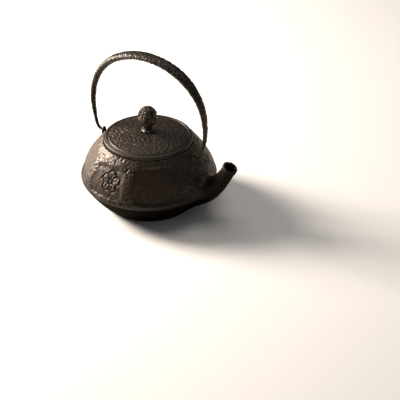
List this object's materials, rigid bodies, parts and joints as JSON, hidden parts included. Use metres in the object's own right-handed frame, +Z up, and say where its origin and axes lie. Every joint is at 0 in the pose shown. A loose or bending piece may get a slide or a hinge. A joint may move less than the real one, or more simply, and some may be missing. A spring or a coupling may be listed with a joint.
{
  "type": "teapot",
  "caption": "Low, wide cast iron teapot with a conical shoulder, short upturned spout, shallow lid with a round wrinkled knob, swinging bail handle and a steel infuser basket.",
  "frame": {"origin": "centre of the flat base, on the pot's axis", "axes": "+Z up along the pot's axis, +X towards the spout; the bail handle swings about an axis along X"},
  "size_m": [0.2028, 0.1644, 0.1944],
  "materials": {
    "pot_iron": "sand-cast, dark brown-black, matt",
    "lid_iron": "stippled casting, dark brown-black, matt",
    "knob_iron": "rough wrinkled casting, satin on the high spots",
    "handle_iron": "hammered, dark, satin on the high spots",
    "stainless": "brushed stainless steel",
    "stainless_mesh": "fine stainless steel mesh"
  },
  "bodies": {
    "pot": {"pot_body": "pot_iron"},
    "handle": {"bail_handle": "handle_iron"},
    "lid": {"lid": "lid_iron", "knob": "knob_iron", "knob_seat": "knob_iron", "knob_screw": "stainless", "knob_washer": "stainless"},
    "infuser": {"infuser_rim": "stainless", "infuser_wall": "stainless_mesh", "infuser_base": "stainless_mesh", "infuser_hoop": "stainless", "infuser_seam": "stainless"}
  },
  "joints": [
    {"name": "handle_swing", "type": "hinge", "parent": "pot", "child": "handle", "pos_m": [0, 0, 0.0769], "axis": [1, 0, 0], "range_deg": [-125, 125]},
    {"name": "lid_lift", "type": "slide", "parent": "pot", "child": "lid", "axis": [0, 0, 1], "range_m": [0, 0.056]},
    {"name": "infuser_lift", "type": "slide", "parent": "pot", "child": "infuser", "axis": [0, 0, 1], "range_m": [0, 0.0448]}
  ],
  "couplings": [
    {"joint": "infuser_lift", "follows": "lid_lift", "ratio": 0.8}
  ]
}
